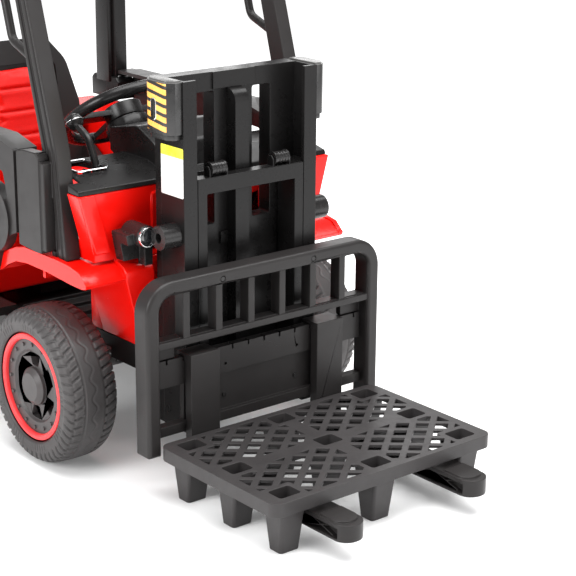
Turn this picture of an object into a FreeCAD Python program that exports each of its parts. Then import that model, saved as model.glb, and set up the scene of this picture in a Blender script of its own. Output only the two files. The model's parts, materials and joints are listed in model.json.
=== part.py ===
import FreeCAD, Part
import math
import os

# Ride-on toy forklift, millimetres. While it is drawn, +X is the vehicle's left, -Y its front and
# +Z up; Y = 0 is the face of the load backrest, and Z = 0 the floor. Every piece is moved back by
# ORIGIN_SHIFT when it is written, so that the origin ends up at the middle of the base.

# Overall
FORK_TIP_Y = -376.0
REAR_END_Y = 960.0
ORIGIN_SHIFT = -(FORK_TIP_Y + REAR_END_Y) / 2
ROOF_HALF = 268.0
REAR_ARCH_X = 292.0
ROOF_TOP = 955.0
WALL = 4.0

# Wheels and axles
WHEEL_R = 136.5
TYRE_W = 100.0
WHEEL_X = 267.0
FRONT_AXLE_Y = 258.0
REAR_AXLE_Y = 770.0
BEAD_R = 95.3
SPINDLE_R = 8.0
RUNNING_GAP = 0.06
KINGPIN_X = 190.0
KINGPIN_R = 5.0
STEER_ARM = 45.0
CRANK_ARM = 22.5
TIE_ROD_Z = 128.0

# Body
COWL_Y = 165.0
COWL_TOP = 478.0
LEDGE_Z = 364.0
INNER_WALL_X = 160.0
CHASSIS_TOP = 205.0
CHASSIS_LOW = 162.0
PAN_STEP_Y = 426.0
CROWN_Z = 361.0
SILL_TOP = 540.0
POST_FOOT_Z = 361.5
PILLAR_X = 252.0
ROOF_Z = 928.0
LEVER_X = -178.0
LEVER_PIVOT = (246.0, 462.0)

# Steering wheel: its centre, the tilt of its plane and the radius of its rim
STEER_CENTRE = (0.0, 424.0, 545.0)
STEER_TILT = 35.0
STEER_R = 110.0

# Mast
MAST_TOP = 668.7
MAST_LOW = 75.0
MAST_HALF = 138.6
MAST_Y = 47.0
MAST_BACK = 98.0
MAST_REAR = 128.0
WEB = 8.0
FLANGE_X = 111.6
RAIL_X = 92.0
SLIDE_GAP = 1.0
CROSSBAR = (480.0, 507.0)
ROLLER_R = 11.5

# Carriage, forks and pallet
REST_HALF = 247.9
REST_INNER = 221.8
REST_DEPTH = 35.6
REST_LOW = 69.8
REST_TOP = 363.0
REST_CORNER = 53.0
SHANK = (105.0, 163.0)
BLADE_X = 132.0
BLADE_W = 50.0
BLADE_Z = (34.0, 62.0)
NOTCH_PITCH = 33.6
PALLET_HALF = 231.3
PALLET_Y = (-302.9, -3.0)
PALLET_TOP = 93.6
PALLET_SKIRT = 22.9
# Half steps of the deck's diamond holes in x and y, and the middle of a field from the pallet's middle.
LATTICE = (25.0, 21.0, 88.0, 73.0)


def vec(x, y, z):
    return FreeCAD.Vector(x, y, z)


def box(x0, x1, y0, y1, z0, z1):
    return Part.makeBox(x1 - x0, y1 - y0, z1 - z0, vec(x0, y0, z0))


def rod(start, end, radius):
    line = vec(*end) - vec(*start)
    return Part.makeCylinder(radius, line.Length, vec(*start), line)


def fuse(shapes):
    whole = shapes[0]
    for shape in shapes[1:]:
        whole = whole.fuse(shape)
    return whole.removeSplitter()


def cut(shape, tools):
    for tool in tools:
        shape = shape.cut(tool)
    return shape


def mirrored(shape):
    return shape.mirror(vec(0, 0, 0), vec(1, 0, 0))


def outline(points, radius, place):
    """Closed wire through 2-D points, each corner rounded by radius (one value, or one per point)."""
    radii = radius if isinstance(radius, (list, tuple)) else [radius] * len(points)
    flat = [vec(p[0], p[1], 0) for p in points]
    ends = []
    for i, corner in enumerate(flat):
        to_last = (flat[i - 1] - corner).normalize()
        to_next = (flat[(i + 1) % len(flat)] - corner).normalize()
        half = to_last.getAngle(to_next) / 2
        if radii[i] <= 0 or half > math.pi / 2 - 0.001:
            ends.append((corner, None, corner))
            continue
        run = radii[i] / math.tan(half)
        middle = (to_last + to_next).normalize()
        peak = corner + middle * (radii[i] / math.sin(half) - radii[i])
        ends.append((corner + to_last * run, peak, corner + to_next * run))
    edges = []
    for i, (start, peak, end) in enumerate(ends):
        before = ends[i - 1][2]
        if (start - before).Length > 1e-4:
            edges.append(Part.makeLine(place(before), place(start)))
        if peak is not None:
            edges.append(Part.Arc(place(start), place(peak), place(end)).toShape())
    return Part.Wire(edges)


def plate_x(points, x0, x1, radius=0.0):
    wire = outline(points, radius, lambda p: vec(x0, p.x, p.y))
    return Part.Face(wire).extrude(vec(x1 - x0, 0, 0))


def plate_y(points, y0, y1, radius=0.0):
    wire = outline(points, radius, lambda p: vec(p.x, y0, p.y))
    return Part.Face(wire).extrude(vec(0, y1 - y0, 0))


def plate_z(points, z0, z1, radius=0.0):
    wire = outline(points, radius, lambda p: vec(p.x, p.y, z0))
    return Part.Face(wire).extrude(vec(0, 0, z1 - z0))


def rectangle(a0, a1, b0, b1):
    return [(a0, b0), (a1, b0), (a1, b1), (a0, b1)]


def ring(points, axis_start, axis):
    """Solid of revolution: points are (along the axis, radius) pairs of the closed half section."""
    place = FreeCAD.Placement(vec(*axis_start), FreeCAD.Rotation(vec(1, 0, 0), vec(*axis)))
    wire = outline(points, 0.0, lambda p: vec(p.x, p.y, 0))
    turned = Part.Face(wire).revolve(vec(0, 0, 0), vec(1, 0, 0), 360)
    turned.Placement = place
    return turned


def softened(shape, radius, chosen):
    """Fillet the edges that chosen accepts, or leave the shape as it is if they can't be rounded."""
    edges = [edge for edge in shape.Edges if chosen(edge)]
    try:
        rounded = shape.makeFillet(radius, edges)
    except Exception:
        return shape
    return rounded if rounded.isValid() and rounded.Volume > 0 else shape


def pipe(points, radius, bend):
    """Round bar along a path of straight runs joined by tangent arcs."""
    path = [vec(*p) for p in points]
    runs = []
    last = path[0]
    for i in range(1, len(path) - 1):
        to_last = (path[i - 1] - path[i]).normalize()
        to_next = (path[i + 1] - path[i]).normalize()
        half = to_last.getAngle(to_next) / 2
        run = bend / math.tan(half)
        peak = path[i] + (to_last + to_next).normalize() * (bend / math.sin(half) - bend)
        runs.append(Part.makeLine(last, path[i] + to_last * run))
        runs.append(Part.Arc(path[i] + to_last * run, peak, path[i] + to_next * run).toShape())
        last = path[i] + to_next * run
    runs.append(Part.makeLine(last, path[-1]))
    spine = Part.Wire(runs)
    section = Part.Wire(Part.makeCircle(radius, path[0], path[1] - path[0]))
    return spine.makePipeShell([section], True, True)


def steer_axis():
    tilt = math.radians(STEER_TILT)
    return vec(0, math.sin(tilt), math.cos(tilt))


def on_steer_axis(distance):
    point = vec(*STEER_CENTRE) + steer_axis() * distance
    return (point.x, point.y, point.z)


# ---------------------------------------------------------------- wheels and axles

def tyre():
    """Blow-moulded tyre: a thin skin, open towards the rim."""
    half = TYRE_W / 2
    side = [(half - 5, BEAD_R), (half - 1, BEAD_R + 8), (half, BEAD_R + 24), (half - 4, WHEEL_R - 12),
            (half - 16, WHEEL_R - 3), (half - 34, WHEEL_R)]
    hollow = [(half - 13, BEAD_R - 1), (half - 8, BEAD_R + 20), (half - 11, WHEEL_R - 17),
              (half - 20, WHEEL_R - 10), (half - 36, WHEEL_R - 7)]
    solid = ring(side + [(-x, r) for x, r in reversed(side)], (0, 0, 0), (1, 0, 0))
    cavity = ring(hollow + [(-x, r) for x, r in reversed(hollow)], (0, 0, 0), (1, 0, 0))
    return solid.cut(cavity)


def rim():
    """Barrel and six-spoked disc of a wheel; the outer side is +X."""
    barrel_r = BEAD_R - 0.3
    barrel = ring([(-44, barrel_r - 6), (38, barrel_r - 6), (38, barrel_r), (-44, barrel_r)],
                  (0, 0, 0), (1, 0, 0))
    disc = ring([(22, 12), (34, 12), (34, 60), (38, 64), (38, barrel_r - 3), (22, barrel_r - 3)],
                (0, 0, 0), (1, 0, 0))
    hub = ring([(-44, SPINDLE_R + RUNNING_GAP), (42, SPINDLE_R + RUNNING_GAP), (42, 0.01), (47, 0.01),
                (47, 24), (40, 33), (22, 33), (10, 20), (-44, 20)], (0, 0, 0), (1, 0, 0))
    windows = []
    for i in range(6):
        pane = plate_x([(-9, 36), (9, 36), (17, 58), (-17, 58)], 10, 50, 3)
        pane.rotate(vec(0, 0, 0), vec(1, 0, 0), i * 60)
        windows.append(pane)
    bolts = []
    for i in range(16):
        bolt = rod((36, 0, 74), (41, 0, 74), 3.2)
        bolt.rotate(vec(0, 0, 0), vec(1, 0, 0), i * 22.5)
        bolts.append(bolt)
    return fuse([cut(fuse([barrel, disc]), windows), hub] + bolts)


def trim_ring():
    return ring([(38.1, 82.4), (44, 83.4), (46, 86.6), (45, 92.6), (38.1, 94.7)], (0, 0, 0), (1, 0, 0))


def wheel_pieces(side, axle_y):
    pieces = []
    for name, shape in (("tyre", tyre()), ("rim", rim()), ("trim_ring", trim_ring())):
        if side < 0:
            shape = mirrored(shape)
        shape.translate(vec(side * WHEEL_X, axle_y, WHEEL_R))
        pieces.append((name, shape))
    return pieces


def front_axle_beam():
    beam = box(-168, 168, FRONT_AXLE_Y - 10, FRONT_AXLE_Y + 10, 142, 157)
    boss = rod((0, FRONT_AXLE_Y, 139), (0, FRONT_AXLE_Y, CHASSIS_LOW), 17)
    bore = rod((0, FRONT_AXLE_Y, 130), (0, FRONT_AXLE_Y, 170), 6 + RUNNING_GAP)
    yokes = []
    for side in (-1, 1):
        low, high = sorted((side * 160, side * 168))
        yokes.append(box(low, high, FRONT_AXLE_Y - 14, FRONT_AXLE_Y + 14, 106, 174))
        for z in (106, 168):
            low, high = sorted((side * 160, side * (KINGPIN_X + 12)))
            yokes.append(box(low, high, FRONT_AXLE_Y - 12, FRONT_AXLE_Y + 12, z, z + 6))
        pin = rod((side * KINGPIN_X, FRONT_AXLE_Y, 102), (side * KINGPIN_X, FRONT_AXLE_Y, 178), KINGPIN_R)
        yokes.append(pin)
    return fuse([beam, boss] + yokes).cut(bore)


def knuckle():
    """Left steering knuckle: barrel on the kingpin, spindle for the wheel and arm to the tie rod."""
    barrel = rod((KINGPIN_X, FRONT_AXLE_Y, 112.5), (KINGPIN_X, FRONT_AXLE_Y, 167.5), 12)
    spindle = rod((KINGPIN_X, FRONT_AXLE_Y, WHEEL_R), (WHEEL_X + 40, FRONT_AXLE_Y, WHEEL_R), SPINDLE_R)
    collar = rod((KINGPIN_X, FRONT_AXLE_Y, WHEEL_R), (WHEEL_X - 46, FRONT_AXLE_Y, WHEEL_R), 15)
    pin_y = FRONT_AXLE_Y + STEER_ARM
    arm = plate_z([(KINGPIN_X - 8, FRONT_AXLE_Y), (KINGPIN_X + 8, FRONT_AXLE_Y),
                   (KINGPIN_X + 8, pin_y + 8), (KINGPIN_X - 8, pin_y + 8)], 116, 122, [0, 0, 7, 7])
    pin = rod((KINGPIN_X, pin_y, 116), (KINGPIN_X, pin_y, TIE_ROD_Z + 12), 4)
    bore = rod((KINGPIN_X, FRONT_AXLE_Y, 100), (KINGPIN_X, FRONT_AXLE_Y, 180), KINGPIN_R + RUNNING_GAP)
    return fuse([barrel, collar, spindle, arm, pin]).cut(bore)


def tie_rod():
    pin_y = FRONT_AXLE_Y + STEER_ARM
    half = KINGPIN_X + 12
    bar = plate_z(rectangle(-half, half, pin_y - 13, pin_y + 9), TIE_ROD_Z, TIE_ROD_Z + 6, 6)
    tab = plate_z(rectangle(-14, 14, FRONT_AXLE_Y + 8, pin_y), TIE_ROD_Z, TIE_ROD_Z + 6, 4)
    slots = []
    for x, y0, y1 in ((-KINGPIN_X, pin_y - 9, pin_y + 5), (KINGPIN_X, pin_y - 9, pin_y + 5),
                      (0, FRONT_AXLE_Y + 11.5, FRONT_AXLE_Y + 30)):
        width = 4.8 if x else 6.5
        slots.append(plate_z(rectangle(x - width, x + width, y0, y1), 100, 180, 4))
    return cut(fuse([bar, tab]), slots)


def lower_steering_shaft():
    shaft = rod((0, FRONT_AXLE_Y, 120), (0, FRONT_AXLE_Y, 286), 6)
    head = rod((0, FRONT_AXLE_Y, 268), (0, FRONT_AXLE_Y, 286), 11)
    arm = plate_z(rectangle(-8, 8, FRONT_AXLE_Y - 8, FRONT_AXLE_Y + CRANK_ARM + 8), 116, 122, 7)
    pin = rod((0, FRONT_AXLE_Y + CRANK_ARM, 118), (0, FRONT_AXLE_Y + CRANK_ARM, TIE_ROD_Z + 9), 4)
    return fuse([shaft, head, arm, pin])


def rear_axle():
    half = WHEEL_X + 40
    shaft = rod((-half, REAR_AXLE_Y, WHEEL_R), (half, REAR_AXLE_Y, WHEEL_R), SPINDLE_R)
    collars = [rod((s * 205, REAR_AXLE_Y, WHEEL_R), (s * 220, REAR_AXLE_Y, WHEEL_R), 15) for s in (-1, 1)]
    return fuse([shaft] + collars)


def drive_motors():
    """Two gearboxes on the rear axle, each with its motor can."""
    pieces = []
    for side in (-1, 1):
        low, high = sorted((side * 150, side * 190))
        case = plate_x([(728, 112), (812, 112), (812, 170), (780, 196), (728, 196)], low, high, 10)
        can = rod((side * 95, 752, 168), (side * 152, 752, 168), 18)
        bore = rod((side * 140, REAR_AXLE_Y, WHEEL_R), (side * 200, REAR_AXLE_Y, WHEEL_R),
                   SPINDLE_R + RUNNING_GAP)
        pieces.append(fuse([case, can]).cut(bore))
    return Part.makeCompound(pieces)


# ---------------------------------------------------------------- chassis and body

def floor_pan():
    """Black floor tray, open on top, with a well round the axle boss and holes for the shafts."""
    front = box(-INNER_WALL_X, INNER_WALL_X, 160, PAN_STEP_Y + 2, CHASSIS_LOW, CHASSIS_TOP)
    middle = box(-250, 250, PAN_STEP_Y, 585, CHASSIS_LOW, CHASSIS_TOP)
    rear = box(-196, 196, 583, 940, CHASSIS_LOW, CHASSIS_TOP)
    inside = [box(-INNER_WALL_X + 5, INNER_WALL_X - 5, 166, PAN_STEP_Y + 7, CHASSIS_LOW + 6, CHASSIS_TOP + 1),
              box(-244, 244, PAN_STEP_Y + 6, 579, CHASSIS_LOW + 6, CHASSIS_TOP + 1),
              box(-190, 190, 578, 934, CHASSIS_LOW + 6, CHASSIS_TOP + 1)]
    shaft_hole = rod((0, FRONT_AXLE_Y, 150), (0, FRONT_AXLE_Y, 190), 9)
    yoke_notches = [box(-INNER_WALL_X - 1, -150, FRONT_AXLE_Y - 18, FRONT_AXLE_Y + 18, 160, 180),
                    box(150, INNER_WALL_X + 1, FRONT_AXLE_Y - 18, FRONT_AXLE_Y + 18, 160, 180)]
    motor_gap = box(-196, 196, 722, 818, 150, 198)
    ribs = [box(-150, 150, y, y + 4, CHASSIS_LOW + 5, CHASSIS_LOW + 14) for y in (380, 450, 500, 550)]
    return fuse([cut(fuse([front, middle, rear]), inside)] + ribs).cut(
        fuse([shaft_hole, motor_gap] + yoke_notches))


def pillar_notches():
    """Room for both front posts where they pass the cowl and the dash."""
    notch = box(PILLAR_X - 14.5, 290, 200, 270, LEDGE_Z, 560)
    return fuse([notch, mirrored(notch)])


def cowl_nose(grow):
    """Shoulder of the cowl beside the mast: a low ledge with a steep front, narrower towards the bottom."""
    front = plate_y([(140 + grow, 205 - grow), (INNER_WALL_X - grow, 205 - grow), (197 - grow, 334),
                     (197 - grow, LEDGE_Z - grow), (140 + grow, LEDGE_Z - grow)], 50, 262)
    side = plate_x([(142 + grow, 200 - grow), (131 + grow, 336), (132 + grow, 346 - grow), (140, 353 - grow),
                    (156, 360 - grow), (168, LEDGE_Z - grow), (310, LEDGE_Z - grow), (310, 200 - grow)], 100, 300)
    return front.common(side)


def front_cowl():
    upper = plate_y([(-264, COWL_TOP), (-236, 376), (-236, LEDGE_Z - 2), (236, LEDGE_Z - 2), (236, 376),
                     (264, COWL_TOP)], COWL_Y, 262)
    lower = box(-INNER_WALL_X, INNER_WALL_X, 142, 300, CHASSIS_TOP, LEDGE_Z)
    noses = [cowl_nose(0), mirrored(cowl_nose(0))]
    upper_in = plate_y([(-260, COWL_TOP + 1), (-232, 376), (-232, LEDGE_Z - 3), (232, LEDGE_Z - 3), (232, 376),
                        (260, COWL_TOP + 1)], COWL_Y + WALL, 263)
    lower_in = box(-INNER_WALL_X + WALL, INNER_WALL_X - WALL, 142 + WALL, 301, 190, LEDGE_Z + 2)
    noses_in = [cowl_nose(WALL), mirrored(cowl_nose(WALL))]
    shell = cut(fuse([upper, lower] + noses), [fuse([upper_in, lower_in] + noses_in)])
    strips = []
    for side in (-1, 1):
        strip = plate_y([(side * 264, COWL_TOP), (side * 235, COWL_TOP), (side * 206, 377), (side * 236, 377)],
                        COWL_Y - 6, COWL_Y + 1)
        strips.append(strip)
    ribs = [plate_y(rectangle(x, x + 14, 402, 466), COWL_Y - 3, COWL_Y + 1, 6) for x in (-122, 108)]
    return fuse([shell] + strips + ribs).cut(pillar_notches())


def dash_top():
    """Black ledge over the cowl with a raised column housing in its middle."""
    ledge = plate_x([(164, 478.2), (168, 486), (238, 502), (318, 502), (318, 478.2)], -262, 262, [0, 4, 10, 4, 0])
    ledge_in = plate_x([(170, 470), (174, 482), (238, 497), (330, 497), (330, 470)], -257, 257)
    hump = plate_x([(186, 482), (214, 532), (268, 556), (352, 540), (352, 500), (318, 480)], -78, 78,
                   [4, 22, 24, 8, 4, 4])
    hump_in = plate_x([(192, 470), (219, 528), (268, 551), (340, 536), (340, 470)], -73, 73)
    shaft_hole = rod(on_steer_axis(-200), on_steer_axis(20), 14)
    lever_gap = box(-222, -168, 227, 298, 490, 520)
    shell = cut(fuse([ledge.cut(ledge_in), hump.cut(hump_in)]), [ledge_in, hump_in, shaft_hole, lever_gap])
    cheeks = [box(x, x + 4, 236, 260, 452, 499) for x in (LEVER_X - 17, LEVER_X + 13)]
    pivot = rod((LEVER_X - 30, *LEVER_PIVOT), (LEVER_X + 30, *LEVER_PIVOT), 4 + RUNNING_GAP)
    return cut(fuse([shell] + cheeks), [pivot, pillar_notches()])


def front_fender():
    """Left front mudguard: a shell over the wheel, sloping down in front, with a flat lip on its outer side."""
    crown = [(131, 337), (152, 354), (178, 359), (215, CROWN_Z), (322, 360), (349, 354), (378, 342), (402, 328),
             (416, 306)]
    inner = [(408, 302), (395, 322), (374, 335), (346, 347), (320, 353), (215, 354), (180, 352), (156, 347),
             (135, 331)]
    hood = plate_x(crown + inner, 197.5, 268)
    lip = plate_x([(130.5, 338), (150, 355.5), (178, 361), (215, 363), (322, 362), (349, 356.5), (379, 344.5),
                   (404, 330), (419, 306), (408, 301), (379, 319), (351, 331), (313, 335.5), (250, 335),
                   (179, 330.5), (144, 330), (133, 332)], 266.4, 276)
    hollow = plate_x([(146, 325), (150, 345), (180, 353), (215, 355), (320, 354), (346, 348), (374, 336),
                      (395, 323), (400, 300)], 260, 270)
    ramp = box(INNER_WALL_X + 0.5, 199, 262.5, 330, 352, 360)
    rear_wall = box(INNER_WALL_X + 0.5, 236, 322, 330, 300, 357)
    return fuse([hood, lip.cut(hollow), ramp, rear_wall])


def pillar_points(front, rear):
    """Side view of a front post: a bend at the sill, then a steady lean back to the roof."""
    return [(226 - front, POST_FOOT_Z), (247 - front, SILL_TOP), (362 - front * 0.8, ROOF_Z),
            (362 + rear * 0.8, ROOF_Z), (247 + rear, SILL_TOP), (226 + rear, POST_FOOT_Z)]


def front_pillar():
    """Left front post with two grooves down its outer face, and the sill panel behind its foot."""
    post = plate_x(pillar_points(22, 22), PILLAR_X - 14, PILLAR_X + 14)
    grooves = [plate_x(pillar_points(14, -9), PILLAR_X + 11, PILLAR_X + 20),
               plate_x(pillar_points(-2, 13), PILLAR_X + 10, PILLAR_X + 20)]
    brace = box(PILLAR_X, 282, 240, 262, 372, 522)
    panel = plate_x([(252, 367), (268, 366), (324, 369), (324, 531), (300, 536), (262, 537), (252, 528)],
                    264, 284, [3, 3, 3, 3, 8, 12, 8])
    hollow = plate_x([(262, 374), (318, 374), (318, 526), (262, 526)], 262, 280)
    return fuse([cut(post, grooves), cut(panel, [hollow]), brace])


def side_panel():
    """Black sill panel beside the seat: a window over a round boss, and a step bracket inside."""
    sheet = plate_x([(328, 388), (346, 381), (366, 366), (390, 342), (445, 215), (575, 215), (592, 262),
                     (632, 330), (690, 375), (770, 392), (800, 388), (800, 545), (390, 545), (328, 531)],
                    276, 286, [4, 10, 10, 20, 8, 8, 14, 20, 20, 10, 4, 14, 10, 6])
    window = plate_x([(366, 488), (470, 496), (452, 440), (352, 440)], 250, 290, 8)
    boss = rod((270, 410, 400), (290, 410, 400), 62)
    boss_dish = rod((286, 410, 400), (296, 410, 400), 50)
    bolt = rod((270, 410, 400), (292, 410, 400), 9)
    ledge = plate_x([(328, 524), (390, 538), (800, 538), (800, 545), (390, 545), (328, 531)], 240, 276.5)
    foot = box(228, 276.5, 440, 575, 206, 221)
    return fuse([cut(fuse([cut(sheet, [window]), boss]), [boss_dish]), bolt, ledge, foot])


def rear_pillar():
    post = plate_x([(812, 539), (858, 539), (852, ROOF_Z), (808, ROOF_Z)], PILLAR_X - 14, PILLAR_X + 14)
    base = plate_x([(802, 484), (870, 484), (870, 545), (858, 575), (812, 575), (802, 545)],
                   PILLAR_X - 20, PILLAR_X + 18, [3, 3, 10, 10, 10, 10])
    groove = plate_x([(826, 585), (842, 585), (838, ROOF_Z), (822, ROOF_Z)], PILLAR_X + 11, PILLAR_X + 20)
    return fuse([cut(post, [groove]), base])


def roof():
    """Overhead guard: a rounded frame with slats across it."""
    front_y, rear_y = 338.0, 866.0
    outer = plate_z(rectangle(-ROOF_HALF, ROOF_HALF, front_y, rear_y), ROOF_Z, ROOF_TOP, 26)
    hole = plate_z(rectangle(-228, 228, front_y + 42, rear_y - 42), ROOF_Z - 1, ROOF_TOP + 1, 16)
    slats = []
    count = 7
    pitch = (rear_y - front_y - 84) / (count + 1)
    for i in range(count):
        y = front_y + 42 + pitch * (i + 1)
        slats.append(box(-230, 230, y - 9, y + 9, ROOF_Z + 8, ROOF_TOP - 5))
    spine = box(-14, 14, front_y + 40, rear_y - 40, ROOF_Z + 4, ROOF_TOP - 8)
    return fuse([outer.cut(hole), spine] + slats)


def grab_handles():
    """Bent bars on the rear of both front posts."""
    bars = []
    for side in (-1, 1):
        x = side * PILLAR_X
        path = [(x, 310, 683), (x, 372, 706), (x, 412, 838), (x, 362, 852)]
        bars.append(pipe(path, 7.5, 22))
    holes = [front_pillar(), mirrored(front_pillar())]
    return Part.makeCompound([cut(bar, [hole]) for bar, hole in zip(bars, reversed(holes))])


def rear_outline(wall):
    return [(560 + wall, 206), (560 + wall, 330), (588 + wall, 470 - wall), (800, 482 - wall),
            (905, 478 - wall), (950 - wall, 440 - wall), (REAR_END_Y - wall, 360),
            (REAR_END_Y - wall, 290), (952 - wall, 206)]


def rear_body():
    """Red rear shell: inner box, seat well, counterweight tail and the arches over the rear wheels."""
    core = plate_x(rear_outline(0), -240, 240, [4, 20, 30, 8, 30, 24, 30, 30, 8])
    core_in = plate_x(rear_outline(WALL + 1), -235, 235)
    core_in = fuse([core_in, box(-192, 192, 566, 946, 190, 330)])
    well = box(-146, 146, 555, 812, 336, 500)
    well_skin = box(-151, 151, 556, 817, 331, 500).common(core)
    arch = rod((196, REAR_AXLE_Y, WHEEL_R), (330, REAR_AXLE_Y, WHEEL_R), 182)
    arch_skin = rod((192, REAR_AXLE_Y, WHEEL_R), (240, REAR_AXLE_Y, WHEEL_R), 187)
    arches = [arch, mirrored(arch)]
    skins = [arch_skin.common(core), mirrored(arch_skin).common(core)]
    low_cut = [box(196, 330, 540, 970, 190, 300), box(-330, -196, 540, 970, 190, 300)]
    shell = fuse([cut(core, [core_in])] + [well_skin] + skins)
    shell = cut(shell, [well] + arches)
    walls = [box(s * 196 - 4 * (s > 0), s * 196 + 4 * (s < 0), 566, 946, 206, 332) for s in (-1, 1)]
    shell = fuse([cut(shell, low_cut)] + walls)
    flare = rod((232, REAR_AXLE_Y, WHEEL_R), (REAR_ARCH_X, REAR_AXLE_Y, WHEEL_R), 206)
    flare = cut(flare, [rod((200, REAR_AXLE_Y, WHEEL_R), (330, REAR_AXLE_Y, WHEEL_R), 190),
                        box(200, 330, 540, 1000, -100, 250)])
    lip = rod((REAR_ARCH_X - 9, REAR_AXLE_Y, WHEEL_R), (REAR_ARCH_X, REAR_AXLE_Y, WHEEL_R), 209)
    lip = cut(lip, [rod((200, REAR_AXLE_Y, WHEEL_R), (330, REAR_AXLE_Y, WHEEL_R), 182),
                    box(200, 330, 540, 1000, -100, 250)])
    fenders = [flare, lip, mirrored(flare), mirrored(lip)]
    tail_stop = box(-340, 340, REAR_END_Y, 1100, 0, 600)
    return fuse([shell] + fenders).cut(tail_stop)


def seat_shell():
    base = plate_z(rectangle(-140, 140, 600, 792), 337, 352, [10, 10, 24, 24])
    side = [plate_x([(606, 352), (606, 372), (690, 384), (770, 430), (792, 430), (792, 352)], x, x + 16,
                    [0, 10, 30, 20, 10, 0]) for x in (-140, 124)]
    back = plate_y([(-128, 345), (-128, 500), (-106, 585), (-66, 632), (66, 632), (106, 585), (128, 500),
                    (128, 345)], 750, 786, [4, 40, 60, 30, 30, 60, 40, 4])
    back.rotate(vec(0, 765, 345), vec(1, 0, 0), -9)
    bolster_cut = plate_y([(-82, 400), (-82, 585), (82, 585), (82, 400)], 740, 764, 14)
    bolster_cut.rotate(vec(0, 765, 345), vec(1, 0, 0), -9)
    return fuse([base, back.cut(bolster_cut)] + side)


def seat_back_pad():
    pad = plate_y([(-76, 404), (-76, 580), (76, 580), (76, 404)], 742, 763, 16)
    pad.rotate(vec(0, 765, 345), vec(1, 0, 0), -9)
    return pad


def seat_base_pad():
    return plate_z(rectangle(-112, 112, 606, 744), 353, 374, 22)


def battery():
    case = plate_z(rectangle(-76, 76, 610, 706), 169, 262, 4)
    posts = [rod((x, 640, 262), (x, 640, 270), 6) for x in (-50, 50)]
    return fuse([case] + posts)


# ---------------------------------------------------------------- lamps and controls

def lamp_housings():
    """Angular brackets on the cowl, each carrying a round lamp body that looks forward."""
    pieces = []
    for side in (-1, 1):
        shape = plate_y([(196, 352), (208, 416), (166, 417), (142, 404), (142, 392), (176, 352)], 112, 158, 3)
        tab = box(151, 167, 120, 140, 356, 398)
        body = rod((175, 102, 411), (175, 150, 411), 19)
        seat = rod((175, 96, 411), (175, 104, 411), 15)
        shape = fuse([shape.cut(box(120, 240, 100, 135, 300, 398)), body, tab]).cut(seat)
        keep = fuse([box(143, 240, 90, 157.5, 366, 430), box(150, 168, 119, 141, 355, 400)])
        shape = shape.common(keep)
        pieces.append(shape if side > 0 else mirrored(shape))
    return Part.makeCompound(pieces)


def lamp_rings():
    pieces = []
    for side in (-1, 1):
        pieces.append(ring([(0, 15), (0, 17.4), (5, 16.6), (5, 15)], (side * 175, 101.9, 411), (0, -1, 0)))
    return Part.makeCompound(pieces)


def lamp_lenses():
    return Part.makeCompound([rod((s * 175, 97.5, 411), (s * 175, 103.9, 411), 14.7) for s in (-1, 1)])


def steering_wheel():
    centre = vec(*STEER_CENTRE)
    axis = steer_axis()
    rim_ring = Part.makeTorus(STEER_R, 11, centre, axis)
    hub = Part.makeCylinder(36, 26, vec(*on_steer_axis(-16)), axis)
    recess = Part.makeCylinder(25.2, 9, vec(*on_steer_axis(4)), axis)
    pocket = Part.makeCylinder(10, 5, vec(*on_steer_axis(-16)), axis)
    spokes = []
    for angle in (0, 90, 180):
        spoke = box(24, STEER_R - 4, -13, 13, -7, 4)
        spoke.rotate(vec(0, 0, 0), vec(0, 0, 1), angle)
        spoke.rotate(vec(0, 0, 0), vec(1, 0, 0), -STEER_TILT)
        spoke.translate(centre)
        spokes.append(spoke)
    return cut(fuse([hub, rim_ring] + spokes), [recess, pocket])


def horn_button():
    return Part.makeCylinder(24.6, 7, vec(*on_steer_axis(7)), steer_axis())


def steering_shaft():
    stem = rod(on_steer_axis(-284), on_steer_axis(-11.2), 7)
    head = rod(on_steer_axis(-284), on_steer_axis(-268), 11)
    boss = rod(on_steer_axis(-44), on_steer_axis(-16.2), 12)
    return fuse([stem, head, boss])


def lift_lever():
    x = LEVER_X
    bar = pipe([(x, 246, 462), (x, 244, 508), (x, 266, 548), (x, 300, 564)], 6.5, 22)
    knob = Part.makeSphere(15, vec(x, 306, 568))
    boss = rod((x - 12, *LEVER_PIVOT), (x + 12, *LEVER_PIVOT), 9)
    pin = rod((x - 20, *LEVER_PIVOT), (x + 20, *LEVER_PIVOT), 4)
    return fuse([bar, knob, boss, pin])


def pedal():
    plate = plate_x([(322, 186), (364, 222), (368, 217), (330, 181)], -96, -44, 1.5)
    hinge = rod((-98, 326, 182), (-42, 326, 182), 6)
    return fuse([plate, hinge])


# ---------------------------------------------------------------- mast

def outer_mast():
    """Two channels joined by a back plate with two tall windows, and a foot bolted to the chassis."""
    parts = []
    for side in (-1, 1):
        web = sorted((side * (MAST_HALF - WEB), side * MAST_HALF))
        flange = sorted((side * FLANGE_X, side * MAST_HALF))
        parts.append(box(web[0], web[1], MAST_Y, 112, MAST_LOW, MAST_TOP))
        parts.append(box(flange[0], flange[1], MAST_Y, MAST_Y + 8, MAST_LOW, MAST_TOP))
    plate = box(-MAST_HALF + 1, MAST_HALF - 1, MAST_BACK, MAST_REAR, MAST_LOW, MAST_TOP)
    windows = [plate_y(rectangle(x, x + 38, 413, 637), 90, 140, 4) for x in (-78, 40)]
    back_pockets = [plate_y(rectangle(x, x + 74, z, z + 110), MAST_REAR - 18, 140, 6)
                    for x in (-120, 46) for z in (110, 250)]
    top_arch = box(-44, 44, MAST_BACK - 4, MAST_BACK + 1, 640, MAST_TOP)
    foot = box(-120, 120, MAST_REAR - 1, 160.0, 166, 202)
    brackets = [box(x, x + 16, MAST_REAR - 1, 141.8, 230, 380) for x in (-110, 94)]
    return fuse([cut(plate, windows + back_pockets), top_arch, foot] + parts + brackets)


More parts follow.
